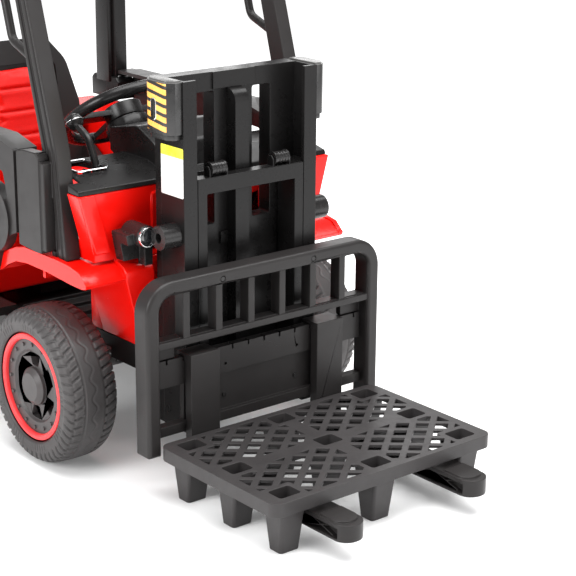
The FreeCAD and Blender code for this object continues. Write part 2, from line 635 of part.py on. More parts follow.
def cylinder_cover():
    side = plate_x([(73, MAST_LOW + 12), (73, 640), (97.9, 640), (97.9, MAST_LOW + 12)], -14.3, 14.3,
                   [2, 22, 0, 0])
    boss = rod((-24, 97.9, 387), (-24, 93, 387), 6)
    ear = box(-30, -14, 94, 97.9, 377, 397)
    return fuse([side, boss, ear])


def hazard_casing():
    """Left D-shaped beacon casing that clips on the outside of the mast's top."""
    x0 = MAST_HALF + 0.1
    body = plate_z([(x0, 58), (150, 58), (164, 72), (164, 108), (150, 126), (x0, 126)], 584, MAST_TOP,
                   [0, 6, 14, 16, 8, 0])
    cap = plate_z([(x0, 60), (149, 60), (161, 72), (161, 106), (149, 123), (x0, 123)], MAST_TOP - 0.5,
                  MAST_TOP + 2.5, [0, 6, 12, 14, 6, 0])
    chin = plate_z([(x0, 66), (148, 66), (158, 76), (158, 102), (148, 118), (x0, 118)], 575, 584.5,
                   [0, 6, 10, 12, 6, 0])
    return fuse([body, cap, chin])


def stub_tubes():
    tubes = []
    for side in (-1, 1):
        tube = rod((side * (MAST_HALF + 0.1), 72, 415), (side * 173.5, 72, 415), 20.5)
        bore = rod((side * 146, 72, 415), (side * 180, 72, 415), 8)
        tubes.append(tube.cut(bore))
    return Part.makeCompound(tubes)


def inner_mast():
    parts = []
    for side in (-1, 1):
        rail = sorted((side * RAIL_X, side * (FLANGE_X - SLIDE_GAP)))
        tongue = sorted((side * (FLANGE_X - SLIDE_GAP - 1), side * (MAST_HALF - WEB - SLIDE_GAP)))
        parts.append(box(rail[0], rail[1], MAST_Y, 94, 84, CROSSBAR[1]))
        parts.append(box(tongue[0], tongue[1], MAST_Y + 9.5, 94, 84, CROSSBAR[1]))
    top = box(-RAIL_X - 1, RAIL_X + 1, MAST_Y, 70, CROSSBAR[0], CROSSBAR[1])
    low = box(-RAIL_X - 1, RAIL_X + 1, MAST_Y + 6, 70, 84, 102)
    ears = []
    for x in (-66, 66):
        for dx in (-19, 16):
            ears.append(plate_x([(50, 506), (50, 518), (58, 528), (66, 518), (66, 506)], x + dx, x + dx + 3,
                                [0, 4, 6, 4, 0]))
        ears.append(rod((x - 19, 58, 519), (x + 19, 58, 519), 3))
    return fuse(parts + [top, low] + ears)


def chain_roller(x):
    """Drum with a flange at each end, and fine grooves round it."""
    hole = 3 + RUNNING_GAP
    profile = [(-15, hole), (15, hole), (15, ROLLER_R), (12.5, ROLLER_R), (12, ROLLER_R - 1.2)]
    for groove in (6, 0, -6):
        profile += [(groove + 1, ROLLER_R - 1.2), (groove, ROLLER_R - 2), (groove - 1, ROLLER_R - 1.2)]
    profile += [(-12, ROLLER_R - 1.2), (-12.5, ROLLER_R), (-15, ROLLER_R)]
    return ring(profile, (x, 58, 519), (1, 0, 0))


def lift_motor():
    """Geared motor at the foot of the mast, behind the back plate, that winds the lift."""
    can = rod((-30, 178, 236), (40, 178, 236), 22)
    gearbox = plate_x([(150, 208), (206, 208), (206, 262), (150, 262)], 40, 66, 8)
    return fuse([can, gearbox])


# ---------------------------------------------------------------- carriage, forks and pallet

def load_backrest():
    inner_corner = REST_CORNER - (REST_HALF - REST_INNER)
    frame = plate_y(rectangle(-REST_HALF, REST_HALF, REST_LOW, REST_TOP), 0, REST_DEPTH,
                    [4, 4, REST_CORNER, REST_CORNER])
    hole = plate_y(rectangle(-REST_INNER, REST_INNER, REST_LOW - 40, 338.9), -1, REST_DEPTH + 1,
                   [0, 0, inner_corner, inner_corner])
    frame = softened(frame.cut(hole), 7, lambda edge: edge.BoundBox.YMax < 0.1)
    rail = box(-REST_INNER - 1, REST_INNER + 1, 4, REST_DEPTH, 255.6, 261.9)
    lip = box(-REST_INNER - 1, REST_INNER + 1, 4, 10, 250, 262)
    bars = [box(x - 6.7, x + 6.7, 6, 30, 261, 340) for x in (-166, -100, -33, 33, 100, 166)]
    gussets = [box(s * 200 - 22, s * 200 + 22, 24, REST_DEPTH, 225.5, 256) for s in (-1, 1)]
    screw_seats = [rod((s * 96.3, -1, 348.9), (s * 96.3, 3, 348.9), 5) for s in (-1, 1)]
    return cut(fuse([frame, rail, lip] + bars + gussets), screw_seats)


def carriage_plate():
    """Notched upper bar, recessed middle panel and lower rail that carry the forks."""
    upper = box(-REST_INNER + 0.4, REST_INNER - 0.4, 20, 31, 178, 225)
    notches = [box(i * NOTCH_PITCH - 1.6 + 5, i * NOTCH_PITCH + 1.6 + 5, 18, 33, 217, 226) for i in range(-6, 7)]
    shelf = box(-REST_INNER + 0.4, REST_INNER - 0.4, 24, REST_DEPTH, 205, 225)
    middle = box(-160, 160, 26, REST_DEPTH, 94, 180)
    lower = box(-REST_INNER + 0.4, REST_INNER - 0.4, 17, REST_DEPTH, 95, 112)
    slides = []
    for side in (-1, 1):
        low, high = sorted((side * 66, side * (RAIL_X - SLIDE_GAP)))
        slides.append(box(low, high, REST_DEPTH - 1, 84, 110, 202))
    tie = box(-70, 70, REST_DEPTH - 1, 46, 150, 200)
    holes = [rod((x, 15, z), (x, 26 + 4, z), 2.5) for x, z in ((-77, 193.5), (77, 193.5))]
    return cut(fuse([cut(upper, notches), middle, lower, tie, shelf.cut(fuse(notches))] + slides), holes)


def carriage_screws():
    heads = [rod((x, 26, 137), (x, 23.4, 137), 4) for x in (-77, 77)]
    heads += [rod((s * 96.3, 2.9, 348.9), (s * 96.3, 0.8, 348.9), 4.2) for s in (-1, 1)]
    return Part.makeCompound(heads)


def fork():
    """Left fork: upright shank that hooks over the notched bar, and a ribbed blade."""
    shank = box(SHANK[0], SHANK[1], -1, 16.7, 40, 229)
    hook = box(SHANK[0], SHANK[1], -1, REST_DEPTH + 4, 225.4, 231)
    catch = box(SHANK[0] + 6, SHANK[1] - 6, REST_DEPTH + 0.4, REST_DEPTH + 4, 206, 230)
    x0 = BLADE_X - BLADE_W / 2
    x1 = BLADE_X + BLADE_W / 2
    round_tip = BLADE_W / 2 - 1
    plan = [(x0, 16.7), (x0, FORK_TIP_Y), (x1, FORK_TIP_Y), (x1, 16.7)]
    radii = [0, round_tip, round_tip, 0]
    skin = plate_z(plan, BLADE_Z[1] - 7, BLADE_Z[1], radii)
    base = plate_z(plan, BLADE_Z[0], BLADE_Z[0] + 4, radii)
    core = plate_z([(x0 + 12, 10), (x0 + 12, FORK_TIP_Y + 14), (x1 - 12, FORK_TIP_Y + 14), (x1 - 12, 10)],
                   BLADE_Z[0], BLADE_Z[1], [0, 12, 12, 0])
    nose = plate_z([(x0, FORK_TIP_Y + 18), (x0, FORK_TIP_Y), (x1, FORK_TIP_Y), (x1, FORK_TIP_Y + 18)],
                   BLADE_Z[0], BLADE_Z[1], [0, 17.9, 17.9, 0])
    nose = nose.common(skin.fuse(plate_z(plan, BLADE_Z[0], BLADE_Z[1], radii)))
    ribs = []
    bay = 56.0
    for i in range(6):
        near = -8 - i * bay
        far = near - bay
        for start, end in ((BLADE_Z[0] + 3, BLADE_Z[1] - 8), (BLADE_Z[1] - 8, BLADE_Z[0] + 3)):
            bar = [(near, start), (near, start + 2.5), (far, end + 2.5), (far, end)]
            ribs += [plate_x(bar, x, x + 9) for x in (x0 + 4, x1 - 13)]
    pad = plate_z([(x0 + 3, -313), (x0 + 3, FORK_TIP_Y + 12), (x1 - 3, FORK_TIP_Y + 12), (x1 - 3, -313)],
                  BLADE_Z[1] - 1, BLADE_Z[1] + 3, [2, 20, 20, 2])
    heel = box(x0, x1, -1, 16.7, BLADE_Z[0], 60)
    return fuse([shank, hook, catch, skin, base, core, heel, pad, nose] + ribs)


def pallet_feet():
    """Centres of the nine feet, in plan."""
    columns = (-187.0, 0.0, 187.0)
    rows = (PALLET_Y[0] + 33, (PALLET_Y[0] + PALLET_Y[1]) / 2, PALLET_Y[1] - 30)
    return [(x, y) for x in columns for y in rows]


def tapered_foot(x, y, top, bottom, z0, z1, radius):
    wires = []
    for half, z in ((bottom, z0), (top, z1)):
        points = rectangle(x - half[0], x + half[0], y - half[1], y + half[1])
        wires.append(outline(points, radius, lambda p, z=z: vec(p.x, p.y, z)))
    return Part.makeLoft(wires, True, True)


def pallet_lattice():
    """Diamond holes in four fields of the deck, trimmed to each field and kept off the feet."""
    mid_y = (PALLET_Y[0] + PALLET_Y[1]) / 2
    low = PALLET_TOP - 8
    high = PALLET_TOP + 2
    around_feet = [plate_z(rectangle(x - 30, x + 30, y - 26, y + 26), low - 1, high + 1, 6)
                   for x, y in pallet_feet()]
    holes = []
    for side_x in (-1, 1):
        for side_y in (-1, 1):
            xs = sorted((side_x * 14, side_x * 214))
            ys = sorted((mid_y + side_y * 14, mid_y + side_y * 138))
            field = cut(plate_z(rectangle(xs[0], xs[1], ys[0], ys[1]), low, high, 8), around_feet)
            cells = []
            for i in range(-4, 6):
                for j in range(-3, 4):
                    if (i + j) % 2:
                        continue
                    x = side_x * (LATTICE[2] + i * LATTICE[0])
                    y = mid_y + side_y * (LATTICE[3] + j * LATTICE[1])
                    cells.append(plate_z([(x - 16.5, y), (x, y - 13.8), (x + 16.5, y), (x, y + 13.8)],
                                         low, high, 1.5))
            holes += [s for s in field.common(Part.makeCompound(cells)).Solids if s.Volume > 600]
    return holes


def pallet():
    deck_rect = rectangle(-PALLET_HALF, PALLET_HALF, PALLET_Y[0], PALLET_Y[1])
    deck = plate_z(deck_rect, PALLET_TOP - PALLET_SKIRT, PALLET_TOP, 18)
    deck_in = plate_z(rectangle(-PALLET_HALF + WALL, PALLET_HALF - WALL, PALLET_Y[0] + WALL, PALLET_Y[1] - WALL),
                      PALLET_TOP - PALLET_SKIRT - 1, PALLET_TOP - 5, 14)
    feet = []
    wells = []
    for x, y in pallet_feet():
        feet.append(tapered_foot(x, y, (24, 27), (19, 15), 0, PALLET_TOP - 4, 6))
        wells.append(tapered_foot(x, y, (20.5, 16.5), (16, 12), 5, PALLET_TOP + 1, 5))
    mid_y = (PALLET_Y[0] + PALLET_Y[1]) / 2
    rib = box(-PALLET_HALF + 3, PALLET_HALF - 3, mid_y - 3, mid_y + 3, PALLET_TOP - 18, PALLET_TOP - 4)
    whole = fuse([deck.cut(deck_in), rib] + feet)
    return cut(whole, [Part.makeCompound(wells), Part.makeCompound(pallet_lattice())])


def both(name, shape):
    return {"left_" + name: shape, "right_" + name: mirrored(shape)}


def build():
    nodes = {
        "floor_pan": floor_pan(), "front_cowl": front_cowl(), "dash_top": dash_top(), "roof": roof(),
        "grab_handles": grab_handles(), "rear_body": rear_body(), "seat_shell": seat_shell(),
        "seat_back_pad": seat_back_pad(), "seat_base_pad": seat_base_pad(), "battery": battery(),
        "front_axle_beam": front_axle_beam(), "tie_rod": tie_rod(), "rear_axle": rear_axle(),
        "drive_motors": drive_motors(), "lower_steering_shaft": lower_steering_shaft(),
        "lamp_housings": lamp_housings(), "lamp_rings": lamp_rings(), "lamp_lenses": lamp_lenses(),
        "steering_wheel": steering_wheel(), "horn_button": horn_button(),
        "steering_shaft": steering_shaft(), "lift_lever": lift_lever(), "pedal": pedal(),
        "outer_mast": outer_mast(), "cylinder_cover": cylinder_cover(), "stub_tubes": stub_tubes(),
        "inner_mast": inner_mast(), "lift_motor": lift_motor(), "load_backrest": load_backrest(),
        "carriage_plate": carriage_plate(), "carriage_screws": carriage_screws(), "pallet": pallet(),
        "left_chain_roller": chain_roller(66), "right_chain_roller": chain_roller(-66),
    }
    for name, shape in (("front_fender", front_fender()), ("side_panel", side_panel()),
                        ("front_pillar", front_pillar()), ("rear_pillar", rear_pillar()),
                        ("knuckle", knuckle()), ("hazard_casing", hazard_casing()), ("fork", fork())):
        nodes.update(both(name, shape))
    for end, axle_y in (("front", FRONT_AXLE_Y), ("rear", REAR_AXLE_Y)):
        for side_name, side in (("left", 1), ("right", -1)):
            for piece, shape in wheel_pieces(side, axle_y):
                nodes[end + "_" + side_name + "_" + piece] = shape
    return nodes


def main():
    os.makedirs("parts", exist_ok=True)
    whole = FreeCAD.BoundBox()
    for name, shape in sorted(build().items()):
        shape.translate(vec(0, ORIGIN_SHIFT, 0))
        solids = shape.Solids
        good = all(solid.isValid() and solid.Volume > 0 for solid in solids)
        print(name, "solids", len(solids), "valid", good, "volume", round(sum(s.Volume for s in solids)))
        whole.add(shape.BoundBox)
        if len(solids) == 1:
            shape = solids[0]
        shape.exportStep("parts/" + name + ".step")
    print("overall", whole)


main()
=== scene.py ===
import json
import math

import bmesh
import bpy
import numpy as np
from mathutils import Matrix, Vector


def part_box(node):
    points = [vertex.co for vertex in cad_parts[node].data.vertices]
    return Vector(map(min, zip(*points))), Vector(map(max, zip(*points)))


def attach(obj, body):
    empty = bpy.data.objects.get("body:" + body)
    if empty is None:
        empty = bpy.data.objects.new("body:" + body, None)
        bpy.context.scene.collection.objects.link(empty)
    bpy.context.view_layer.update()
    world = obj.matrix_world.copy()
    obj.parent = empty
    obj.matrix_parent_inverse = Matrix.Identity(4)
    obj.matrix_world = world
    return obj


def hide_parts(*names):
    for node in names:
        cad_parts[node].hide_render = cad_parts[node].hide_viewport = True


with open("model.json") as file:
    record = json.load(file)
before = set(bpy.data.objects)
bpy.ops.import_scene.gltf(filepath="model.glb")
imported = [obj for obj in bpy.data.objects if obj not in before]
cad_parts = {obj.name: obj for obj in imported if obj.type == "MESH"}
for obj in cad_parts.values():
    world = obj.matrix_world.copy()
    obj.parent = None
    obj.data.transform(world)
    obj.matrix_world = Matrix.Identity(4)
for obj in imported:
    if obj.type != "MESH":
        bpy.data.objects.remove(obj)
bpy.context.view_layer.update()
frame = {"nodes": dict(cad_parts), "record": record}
nodes = frame["nodes"]
slots = {part["node"]: part["material_slot"] for part in frame["record"]["subparts"]}

# The CAD is drawn in millimetres with y = 0 on the face of the load backrest; the frame's origin is
# the middle of the base, this far behind that face.
FRAME_SHIFT_Y = -292.0
MM = 0.001


def at(x, y, z):
    """Drawing millimetres to metres in the frame."""
    return Vector((x * MM, (y + FRAME_SHIFT_Y) * MM, z * MM))


# ---------------------------------------------------------------- materials

def new_material(name):
    material = bpy.data.materials.new(name)
    material.use_nodes = True
    tree = material.node_tree
    return material, tree, tree.nodes["Principled BSDF"]


def add(tree, kind, settings=None, **links):
    """New shader node: settings are attributes, links are sockets given a value or another output."""
    node = tree.nodes.new(kind)
    for key, value in (settings or {}).items():
        setattr(node, key, value)
    for key, value in links.items():
        socket = node.inputs[int(key[1:])] if key[0] == "i" and key[1:].isdigit() else node.inputs[key]
        if isinstance(value, bpy.types.NodeSocket):
            tree.links.new(value, socket)
        else:
            socket.default_value = value
    return node


def noise(tree, coords, scale, detail=3.0, roughness=0.55):
    return add(tree, "ShaderNodeTexNoise", None, Vector=coords, Scale=scale, Detail=detail,
               Roughness=roughness).outputs["Fac"]


def spread(tree, value, low, high, start=0.3, end=0.7):
    """Map a noise value onto low..high."""
    node = add(tree, "ShaderNodeMapRange")
    tree.links.new(value, node.inputs["Value"])
    for key, number in (("From Min", start), ("From Max", end), ("To Min", low), ("To Max", high)):
        node.inputs[key].default_value = number
    return node.outputs["Result"]


def blend_colors(tree, factor, first, second):
    node = add(tree, "ShaderNodeMix", {"data_type": "RGBA"})
    for index, value in ((0, factor), (6, first), (7, second)):
        if isinstance(value, bpy.types.NodeSocket):
            tree.links.new(value, node.inputs[index])
        else:
            node.inputs[index].default_value = value
    return node.outputs[2]


def shade(color, factor):
    return tuple(min(1.0, c * factor) for c in color[:3]) + (1.0,)


def calc(tree, operation, *values):
    node = add(tree, "ShaderNodeMath", {"operation": operation})
    for index, value in enumerate(values):
        if isinstance(value, bpy.types.NodeSocket):
            tree.links.new(value, node.inputs[index])
        else:
            node.inputs[index].default_value = value
    return node.outputs[0]


def plastic(name, color, rough, spec=0.4, coat=0.0, coat_rough=0.12, metal=0.0, grain=0.12, grain_size=1.1,
            mottling=0.10, rough_spread=0.06, edge=0.0, highlight_gain=1.8, flow=0.0):
    """Moulded plastic (or metal): slow colour mottling, grain, uneven gloss, and a painted highlight of
    paler colour along rounded edges.
    """
    material, tree, shader = new_material(name)
    coords = add(tree, "ShaderNodeTexCoord").outputs["Object"]
    cloud = noise(tree, coords, 5.0, 4.0)
    mix = spread(tree, cloud, 0.0, 1.0)
    base = blend_colors(tree, mix, shade(color, 1 - mottling), shade(color, 1 + mottling))
    scuff = noise(tree, coords, 38.0, 5.0, 0.65)
    # Painted highlight: near rounded edges, found with the Bevel node, the colour is lightened, broken up
    # by the scuff noise.
    if edge > 0:
        rounded = add(tree, "ShaderNodeBevel", {"samples": 4}, Radius=0.0016).outputs["Normal"]
        true_normal = add(tree, "ShaderNodeNewGeometry").outputs["Normal"]
        dot = add(tree, "ShaderNodeVectorMath", {"operation": "DOT_PRODUCT"})
        tree.links.new(rounded, dot.inputs[0])
        tree.links.new(true_normal, dot.inputs[1])
        edge_highlight = spread(tree, dot.outputs["Value"], edge, 0.0, 0.86, 0.985)
        edge_highlight = calc(tree, "MULTIPLY", edge_highlight, spread(tree, scuff, 0.35, 1.0))
        base = blend_colors(tree, edge_highlight, base, shade(color, highlight_gain))
    tree.links.new(base, shader.inputs["Base Color"])
    gloss = calc(tree, "ADD", spread(tree, scuff, -rough_spread, rough_spread),
                 spread(tree, cloud, rough - rough_spread / 2, rough + rough_spread / 2))
    tree.links.new(calc(tree, "MAXIMUM", gloss, 0.03), shader.inputs["Roughness"])
    height = calc(tree, "MULTIPLY", noise(tree, coords, 1000.0 / grain_size, 2.0), grain)
    if flow > 0:
        ripple = noise(tree, coords, 22.0, 2.0)
        height = calc(tree, "ADD", height, calc(tree, "MULTIPLY", ripple, flow * 12))
    bump = add(tree, "ShaderNodeBump", None, Strength=1.0, Distance=0.0001, Height=height)
    tree.links.new(bump.outputs["Normal"], shader.inputs["Normal"])
    shader.inputs["Metallic"].default_value = metal
    shader.inputs["Specular IOR Level"].default_value = spec
    shader.inputs["Coat Weight"].default_value = coat
    shader.inputs["Coat Roughness"].default_value = coat_rough
    return material


# Striped film of the casings, in the frame's metres: rise of a stripe per metre of depth, distance
# between stripes, and where the film and the pale cap above it begin and end.
STRIPE_SLANT = 0.14
STRIPE_PITCH = 0.0148
FILM_LOW = 0.589
FILM_HIGH = 0.6665
FILM_SIDE = 0.1398
CAP_LOW = 0.6675
# Front edge of the film, in drawing millimetres.
FILM_FRONT = 60


def hazard_film(name):
    """Orange and black slanted stripes on the outer side of the casing, plain black in front and below."""
    material, tree, shader = new_material(name)
    coords = add(tree, "ShaderNodeTexCoord").outputs["Object"]
    split = add(tree, "ShaderNodeSeparateXYZ", None, Vector=coords)
    x, y, z = (split.outputs[i] for i in range(3))
    slope = calc(tree, "MULTIPLY", y, -STRIPE_SLANT)
    phase = calc(tree, "FRACT", calc(tree, "DIVIDE", calc(tree, "ADD", z, slope), STRIPE_PITCH))
    stripe = spread(tree, phase, 0.0, 1.0, 0.585, 0.60)
    gap = spread(tree, phase, 1.0, 0.0, 0.985, 1.0)
    stripe = calc(tree, "MULTIPLY", stripe, gap)
    above = calc(tree, "GREATER_THAN", z, FILM_LOW)
    below = calc(tree, "LESS_THAN", z, FILM_HIGH)
    height_ok = calc(tree, "MULTIPLY", above, below)
    behind_front = calc(tree, "GREATER_THAN", y, at(0, FILM_FRONT, 0).y)
    outside = calc(tree, "GREATER_THAN", calc(tree, "ABSOLUTE", x), FILM_SIDE)
    film = calc(tree, "MULTIPLY", height_ok, calc(tree, "MULTIPLY", behind_front, outside))
    bright = calc(tree, "MULTIPLY", calc(tree, "SUBTRACT", 1.0, stripe), film)
    cloud = noise(tree, coords, 60.0, 3.0)
    orange = blend_colors(tree, spread(tree, cloud, 0.0, 1.0), (0.95, 0.42, 0.07, 1),
                          (0.98, 0.50, 0.12, 1))
    black = blend_colors(tree, spread(tree, cloud, 0.0, 1.0), (0.012, 0.012, 0.012, 1),
                         (0.022, 0.021, 0.021, 1))
    base = blend_colors(tree, bright, black, orange)
    cap = calc(tree, "GREATER_THAN", z, CAP_LOW)
    base = blend_colors(tree, cap, base, (0.10, 0.098, 0.096, 1))
    tree.links.new(base, shader.inputs["Base Color"])
    tree.links.new(spread(tree, noise(tree, coords, 45.0), 0.22, 0.36), shader.inputs["Roughness"])
    bump = add(tree, "ShaderNodeBump", None, Strength=0.5, Distance=0.0001,
               Height=calc(tree, "ADD", calc(tree, "MULTIPLY", bright, 0.6), noise(tree, coords, 900.0)))
    tree.links.new(bump.outputs["Normal"], shader.inputs["Normal"])
    return material


def leather(name, color):
    """Imitation leather: fine cells under a glossy finish, with slow creases; painted shade darkens the
    grooves between the cells.
    """
    material, tree, shader = new_material(name)
    coords = add(tree, "ShaderNodeTexCoord").outputs["Object"]
    cells = add(tree, "ShaderNodeTexVoronoi", {"feature": "DISTANCE_TO_EDGE"}, Vector=coords, Scale=620.0)
    cell = spread(tree, cells.outputs["Distance"], 0.0, 1.0, 0.0, 0.16)
    cloud = noise(tree, coords, 9.0, 4.0)
    base = blend_colors(tree, spread(tree, cloud, 0.0, 1.0), shade(color, 0.88), shade(color, 1.08))
    # Painted shade: the colour darkens in the grooves between the cells.
    groove_shade = calc(tree, "MULTIPLY", calc(tree, "SUBTRACT", 1.0, cell), 0.25)
    base = blend_colors(tree, groove_shade, base, shade(color, 0.5))
    tree.links.new(base, shader.inputs["Base Color"])
    tree.links.new(spread(tree, noise(tree, coords, 30.0, 5.0), 0.34, 0.48), shader.inputs["Roughness"])
    crease = calc(tree, "MULTIPLY", noise(tree, coords, 26.0, 3.0), 9.0)
    bump = add(tree, "ShaderNodeBump", None, Strength=0.55, Distance=0.00012,
               Height=calc(tree, "ADD", cell, crease))
    tree.links.new(bump.outputs["Normal"], shader.inputs["Normal"])
    shader.inputs["Specular IOR Level"].default_value = 0.35
    return material


def lens_glass(name):
    material, tree, shader = new_material(name)
    coords = add(tree, "ShaderNodeTexCoord").outputs["Object"]
    base = blend_colors(tree, spread(tree, noise(tree, coords, 130.0), 0, 1), (0.012, 0.013, 0.015, 1),
                        (0.03, 0.032, 0.036, 1))
    tree.links.new(base, shader.inputs["Base Color"])
    tree.links.new(spread(tree, noise(tree, coords, 60.0), 0.03, 0.09), shader.inputs["Roughness"])
    shader.inputs["Coat Weight"].default_value = 1.0
    shader.inputs["Coat Roughness"].default_value = 0.03
    shader.inputs["Specular IOR Level"].default_value = 0.7
    return material


def label_film(name, low_z, high_z, band):
    """Plain sticker: white with a yellow head band, one thin grey rule and a worn, glossy finish."""
    material, tree, shader = new_material(name)
    coords = add(tree, "ShaderNodeTexCoord").outputs["Object"]
    z = add(tree, "ShaderNodeSeparateXYZ", None, Vector=coords).outputs[2]
    head = calc(tree, "GREATER_THAN", z, high_z - band)
    middle = (low_z + high_z - band) / 2
    rule = calc(tree, "LESS_THAN", calc(tree, "ABSOLUTE", calc(tree, "SUBTRACT", z, middle)), 0.0004)
    cloud = spread(tree, noise(tree, coords, 50.0), 0.0, 1.0)
    white = blend_colors(tree, cloud, (0.80, 0.81, 0.80, 1), (0.90, 0.90, 0.89, 1))
    yellow = blend_colors(tree, cloud, (0.88, 0.80, 0.04, 1), (0.95, 0.88, 0.10, 1))
    base = blend_colors(tree, head, white, yellow)
    base = blend_colors(tree, rule, base, (0.45, 0.45, 0.44, 1))
    tree.links.new(base, shader.inputs["Base Color"])
    tree.links.new(spread(tree, noise(tree, coords, 90.0), 0.25, 0.4), shader.inputs["Roughness"])
    return material


RED = (0.86, 0.006, 0.003, 1)
materials = {
    "red_plastic": plastic("red_plastic", RED, 0.22, spec=0.22, coat=0.15, coat_rough=0.08, grain=0.05,
                           mottling=0.04, rough_spread=0.05, flow=0.05),
    "trim_red": plastic("trim_red", (0.86, 0.045, 0.05, 1), 0.35, spec=0.35, mottling=0.05, grain=0.08),
    "tyre_plastic": plastic("tyre_plastic", (0.040, 0.0365, 0.0365, 1), 0.46, spec=0.42, grain=0.35,
                            grain_size=1.6, mottling=0.18, rough_spread=0.08),
    "rim_plastic": plastic("rim_plastic", (0.052, 0.047, 0.047, 1), 0.42, spec=0.4, grain=0.25,
                           mottling=0.15),
    "steel": plastic("steel", (0.30, 0.29, 0.285, 1), 0.30, metal=1.0, spec=0.5, grain=0.2, grain_size=0.6,
                     mottling=0.15, rough_spread=0.1),
    "chrome_trim": plastic("chrome_trim", (0.75, 0.75, 0.76, 1), 0.10, metal=1.0, spec=0.5, grain=0.02,
                           mottling=0.03, rough_spread=0.03),
    "screw_steel": plastic("screw_steel", (0.42, 0.42, 0.42, 1), 0.28, metal=1.0, grain=0.1, mottling=0.1),
    "motor_metal": plastic("motor_metal", (0.5, 0.5, 0.52, 1), 0.35, metal=1.0, grain=0.15, mottling=0.08),
    "battery_case": plastic("battery_case", (0.03, 0.03, 0.034, 1), 0.5, grain=0.3, mottling=0.1),
    "gloss_black": plastic("gloss_black", (0.012, 0.0112, 0.0112, 1), 0.26, spec=0.32, grain=0.06,
                           mottling=0.12, rough_spread=0.05, flow=0.03),
    "black_plastic": plastic("black_plastic", (0.0190, 0.0172, 0.0170, 1), 0.38, spec=0.24, grain=0.28,
                             grain_size=0.9, mottling=0.12, rough_spread=0.06),
    # Painted shade: a darker copy of the black plastic, for the mast parts, the dash top and the rear
    # posts.
    "mast_black": plastic("mast_black", (0.0085, 0.0080, 0.0080, 1), 0.30, spec=0.20, grain=0.10,
                          mottling=0.15, rough_spread=0.07, flow=0.04),
    "pallet_black": plastic("pallet_black", (0.034, 0.0312, 0.0315, 1), 0.43, spec=0.30, grain=0.30,
                            grain_size=1.2, mottling=0.16, rough_spread=0.09),
    "hazard_plastic": hazard_film("hazard_plastic"),
    "lamp_lens": lens_glass("lamp_lens"),
    "seat_leather": leather("seat_leather", RED),
}

# ---------------------------------------------------------------- CAD nodes that stay

# Edge rounding of each node that stays visible, in millimetres.
EDGE = {
    "front_cowl": 2.2, "rear_body": 3.0, "left_front_fender": 1.6, "right_front_fender": 1.6,
    "roof": 3.0, "seat_shell": 6.0, "dash_top": 2.0, "load_backrest": 1.4, "pallet": 0.7,
    "outer_mast": 1.0, "inner_mast": 1.2, "cylinder_cover": 1.2, "carriage_plate": 0.8,
    "left_fork": 1.0, "right_fork": 1.0, "carriage_screws": 0.4, "horn_button": 1.2,
    "left_side_panel": 1.4, "right_side_panel": 1.4, "left_front_pillar": 1.8, "right_front_pillar": 1.8,
    "steering_wheel": 1.2, "lamp_housings": 1.2, "lamp_rings": 0.5, "stub_tubes": 1.0,
    "drive_motors": 1.0, "lift_motor": 1.0, "battery": 1.5, "floor_pan": 1.2, "pedal": 0.8,
    "front_axle_beam": 0.8, "rear_axle": 0.8, "tie_rod": 0.6, "left_knuckle": 0.6, "right_knuckle": 0.6,
    "lower_steering_shaft": 0.6, "steering_shaft": 0.6, "left_chain_roller": 0.4, "right_chain_roller": 0.4,
}

# Nodes whose plastic differs a little from their slot's: satin mast parts and dash top in a darker black
# that stands in for the shade they sit in (painted shade), dark screws, a greyer pallet.
FINISH_AND_SHADE = {"outer_mast": "mast_black", "inner_mast": "mast_black", "cylinder_cover": "mast_black",
          "dash_top": "mast_black", "carriage_screws": "gloss_black", "pallet": "pallet_black"}

# Edge roundings of rims and trim rings, in millimetres; from BROAD_EDGE up a rounding gets more segments.
RIM_EDGE = 0.6
TRIM_RING_EDGE = 0.8
BROAD_EDGE = 3

# Ways to round a node's edges, tried in this order: share of the width, outer mitre, clamped or not.
BEVEL_TRIALS = ((1, "MITER_ARC", False), (1, "MITER_SHARP", False), (1, "MITER_SHARP", True),
                (0.5, "MITER_ARC", False), (0.5, "MITER_SHARP", True), (0.25, "MITER_SHARP", True))
# A trial fits when the mesh stays this near its own box, in metres, and keeps about its own area.
BOX_SLACK = 0.0003
AREA_RANGE = (0.85, 1.04)


def paint(obj, material):
    obj.data.materials.clear()
    obj.data.materials.append(material)


def soften(obj, width, segments=2):
    """Merge the CAD mesh's faces and round its sharp edges; gentler settings are tried until one fits."""
    weld = obj.modifiers.new("weld", "WELD")
    weld.merge_threshold = 0.00001
    flat = obj.modifiers.new("flat", "DECIMATE")
    flat.decimate_type = "DISSOLVE"
    flat.angle_limit = math.radians(0.4)
    points = np.array([v.co for v in obj.data.vertices])
    low, high = points.min(0), points.max(0)
    area = sum(face.area for face in obj.data.polygons)
    bevel = obj.modifiers.new("bevel", "BEVEL")
    bevel.limit_method = "ANGLE"
    bevel.angle_limit = math.radians(32)
    bevel.segments = segments
    for share, miter, clamp in BEVEL_TRIALS:
        bevel.width = width * MM * share
        bevel.miter_outer = miter
        bevel.use_clamp_overlap = clamp
        bpy.context.view_layer.update()
        shown = obj.evaluated_get(bpy.context.evaluated_depsgraph_get())
        mesh = shown.to_mesh()
        points = np.array([v.co for v in mesh.vertices])
        new_area = sum(face.area for face in mesh.polygons)
        shown.to_mesh_clear()
        inside = (points.min(0) > low - BOX_SLACK).all() and (points.max(0) < high + BOX_SLACK).all()
        if inside and AREA_RANGE[0] * area < new_area < AREA_RANGE[1] * area:
            break
    else:
        obj.modifiers.remove(bevel)
    even = obj.modifiers.new("even", "WEIGHTED_NORMAL")
    even.keep_sharp = False
    even.weight = 60


for name, node in nodes.items():
    paint(node, materials[FINISH_AND_SHADE.get(name, slots[name])])
    if name in EDGE:
        soften(node, EDGE[name], 4 if EDGE[name] >= BROAD_EDGE else 2)
    elif name.endswith("_rim"):
        soften(node, RIM_EDGE)
    elif name.endswith("_trim_ring"):
        soften(node, TRIM_RING_EDGE)

# ---------------------------------------------------------------- new pieces


